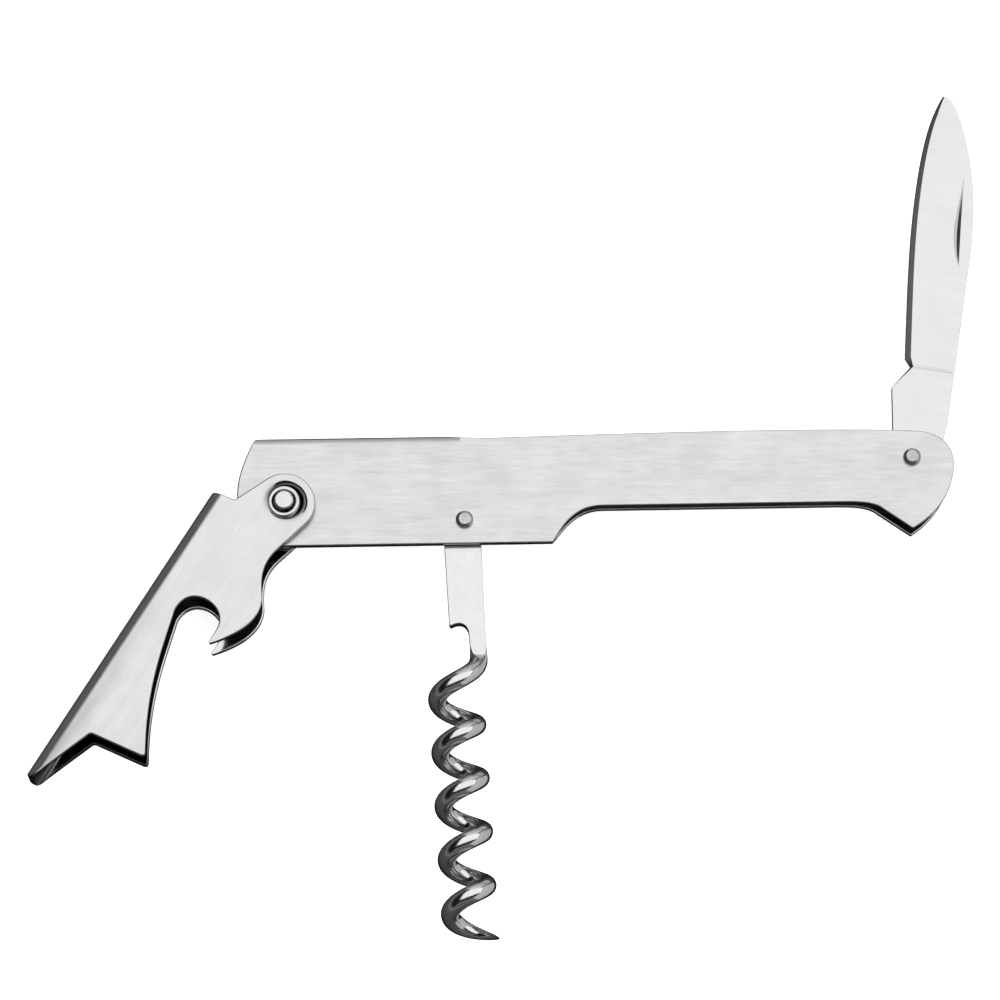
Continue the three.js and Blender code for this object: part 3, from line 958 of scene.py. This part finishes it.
def make_piece(name, solid, joint, angle, body, material):
    """The object of a solid, at its pivot, standing for the CAD node of the same name."""
    mesh = make_mesh(name + "_mesh", solid)
    mesh.materials.append(material)
    piece = new_object(name + "_look", mesh)
    turn = Matrix.Rotation(math.radians(angle), 4, "Z")
    piece.matrix_world = Matrix.Translation(PIVOTS[joint]) @ turn
    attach(piece, body)
    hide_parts(name)


def make_handle_pieces():
    """The handle and what is fixed in it, at the lever's pivot."""
    handle_steel = brushed_steel("brushed_handle_steel", (0.25, 3.0, 3.0), base=(0.50, 0.73))
    rivet_steel = polished_steel("turned_rivet_steel", (0.36, 0.56), (0.16, 0.28))
    bush_steel = polished_steel("turned_bush_steel", (0.58, 0.70), (0.12, 0.22))
    spring_steel = polished_steel("plain_spring_steel", (0.3, 0.42), (0.25, 0.4))
    pieces = [
        ("handle_channel", build_handle(), handle_steel, "brushed_handle"),
        ("lever_pivot_eyelet", build_eyelet(), bush_steel, "rivet_steel"),
        ("lever_pivot_pin", build_lever_rivet(), bush_steel, "rivet_steel"),
        ("back_spring", build_spring(), spring_steel, "spring_steel"),
    ]
    for owner, washer_radius, thickness, pivot in (
        ("knife", 3.2, TANG_THICKNESS, KNIFE_PIVOT),
        ("worm", 2.9, SHANK_THICKNESS, WORM_PIVOT),
    ):
        rivet = build_handle_rivet(pivot)
        pieces.append((owner + "_pivot_pin", rivet, rivet_steel, "rivet_steel"))
        for side, where in ((1, "front"), (-1, "back")):
            washer = build_washer(washer_radius, thickness, side, pivot)
            pieces.append((f"{owner}_washer_{where}", washer, rivet_steel, "rivet_steel"))
    for name, solid, material, slot in pieces:
        make_piece(name, solid, "lever_pivot", 0, "handle", material)


def make_turning_pieces():
    """The lever, the knife and the worm, each at its own pivot and half opened."""
    lever_steel = brushed_steel("brushed_lever_steel", (0.25, 3.0, 3.0), base=(0.60, 0.72))
    blade_steel = brushed_steel(
        "ground_blade_steel", (2.2, 0.15, 0.15), base=(0.65, 0.72), along=(1, 0, 0), bump=0.3
    )
    worm_steel = polished_steel("polished_worm_steel", (0.64, 0.69), (0.13, 0.21), bump=0.08)
    for name, solid, angle, body, material, slot in (
        ("boot_lever", build_lever(), 237.5, "lever", lever_steel, "brushed_lever"),
        ("knife_blade", build_blade(), 80.4, "knife", blade_steel, "ground_blade"),
        ("corkscrew_worm", build_worm(), -87.3, "worm", worm_steel, "polished_worm"),
    ):
        make_piece(name, solid, body + "_pivot", angle, body, material)


# ---- floor, lights and camera ----


def make_floor():
    """A pale sheet, in metres, that turns up into a wall all round. It glows a little, as if lit
    evenly, and the steel doesn't reflect it."""
    segments, reach, height, bend = 96, 2.9, 2.4, 1.0
    sweep = fillet([(0.3, 0), (reach, 0), (reach, height)], [0, bend, 0], steps=13)
    places = [(0, 0, 0)]
    for radius, z in sweep:
        for turn in around(segments):
            places.append((radius * math.cos(turn), radius * math.sin(turn), z))
    faces = [(0, 1 + i, 1 + (i + 1) % segments) for i in range(segments)]
    for first in range(1, len(places) - segments, segments):
        for i in range(segments):
            j = (i + 1) % segments
            faces.append((first + i, first + segments + i, first + segments + j, first + j))
    mesh = bpy.data.meshes.new("floor_mesh")
    mesh.from_pydata(places, [], faces)
    mesh.shade_smooth()
    floor = new_object("floor", mesh)
    nodes = Nodes("pale_floor")
    clouds = nodes.noise((0.004, 0.004, 0.004))
    nodes.shade("Base Color", nodes.grey(nodes.ranged(clouds, 0.3, 0.7, 0.84, 0.88)))
    nodes.shade("Roughness", 0.9)
    nodes.shade("Emission Color", (1, 1, 1, 1))
    nodes.shade("Emission Strength", 0.72)
    mesh.materials.append(nodes.material)
    floor.visible_glossy = False
    floor.visible_shadow = False


def make_light(name, place, aim, size, radiance):
    """A soft panel of that radiance, which the camera itself doesn't see."""
    light = bpy.data.lights.new(name, "AREA")
    light.shape = "RECTANGLE"
    light.size, light.size_y = size
    light.energy = radiance * math.pi * size[0] * size[1]
    panel = new_object(name, light)
    panel.location = place
    panel.rotation_euler = (Vector(aim) - Vector(place)).to_track_quat("-Z", "Y").to_euler()
    panel.visible_camera = False


def make_lights():
    """Each panel's centre, the point it faces, its width and height, all in metres, and its
    radiance. The flat faces mirror the one overhead."""
    make_light("overhead_panel", (0.55, 0.35, 1.0), (0.55, 0.35, 0), (2.1, 1.4), 1.26)
    make_light("upper_back_panel", (0.4, 1.15, 0.78), (0.4, 0, 0.78), (1.3, 0.5), 0.85)
    make_light("back_panel", (0.35, 1.15, -0.05), (0.35, 0, -0.05), (1.5, 1.1), 0.42)
    make_light("right_panel", (1.1, -0.25, -0.1), (0, -0.25, -0.1), (2.1, 1.8), 0.5)
    make_light("front_panel", (0.4, -1.2, 1.0), (0.4, 0, 1.0), (2.2, 0.8), 0.16)


def make_room():
    """A dim room: dark above, with a soft paler band round the walls and a little light below.
    Each level is the sine of an elevation, and the radiance there."""
    levels = ((-0.8, 0.015), (-0.5, 0.08), (0.05, 0.1), (0.18, 0.2), (0.28, 0.2), (0.44, 0.008))
    world = bpy.data.worlds.new("dim_room")
    world.use_nodes = True
    tree = world.node_tree
    direction = tree.nodes.new("ShaderNodeTexCoord")
    split = tree.nodes.new("ShaderNodeSeparateXYZ")
    height = tree.nodes.new("ShaderNodeMapRange")
    height.inputs["From Min"].default_value = -1.0
    ramp = tree.nodes.new("ShaderNodeValToRGB")
    tree.links.new(direction.outputs["Generated"], split.inputs[0])
    tree.links.new(split.outputs["Z"], height.inputs["Value"])
    tree.links.new(height.outputs[0], ramp.inputs[0])
    tree.links.new(ramp.outputs[0], tree.nodes["Background"].inputs["Color"])
    stops = ramp.color_ramp.elements
    while len(stops) < len(levels):
        stops.new(0.5)
    for stop, (sine, radiance) in zip(stops, levels):
        stop.position = (1 + sine) / 2
        stop.color = (radiance, radiance, radiance, 1)
    bpy.context.scene.world = world


def make_camera():
    """Looks down on the tool through a long lens, a little off the vertical."""
    tilt, roll, distance = math.radians(16.2), math.radians(0.87), 0.805
    middle = PIVOTS["lever_pivot"] + Vector((34.642, 1.123, 0)) * MM
    back = Vector((0, -math.sin(tilt), math.cos(tilt)))
    level = Vector((1, 0, 0))
    upright = back.cross(level)
    right = level * math.cos(roll) - upright * math.sin(roll)
    up = level * math.sin(roll) + upright * math.cos(roll)
    camera = new_object("camera", bpy.data.cameras.new("camera"))
    turn = Matrix((right, up, back)).transposed().to_4x4()
    camera.matrix_world = Matrix.Translation(middle + back * distance) @ turn
    camera.data.sensor_width = 36.0
    camera.data.lens = 179.64
    camera.data.clip_start, camera.data.clip_end = 0.05, 20.0
    bpy.context.scene.camera = camera


make_handle_pieces()
make_turning_pieces()
make_floor()
make_lights()
make_room()
make_camera()
bpy.context.scene.view_settings.view_transform = "Standard"
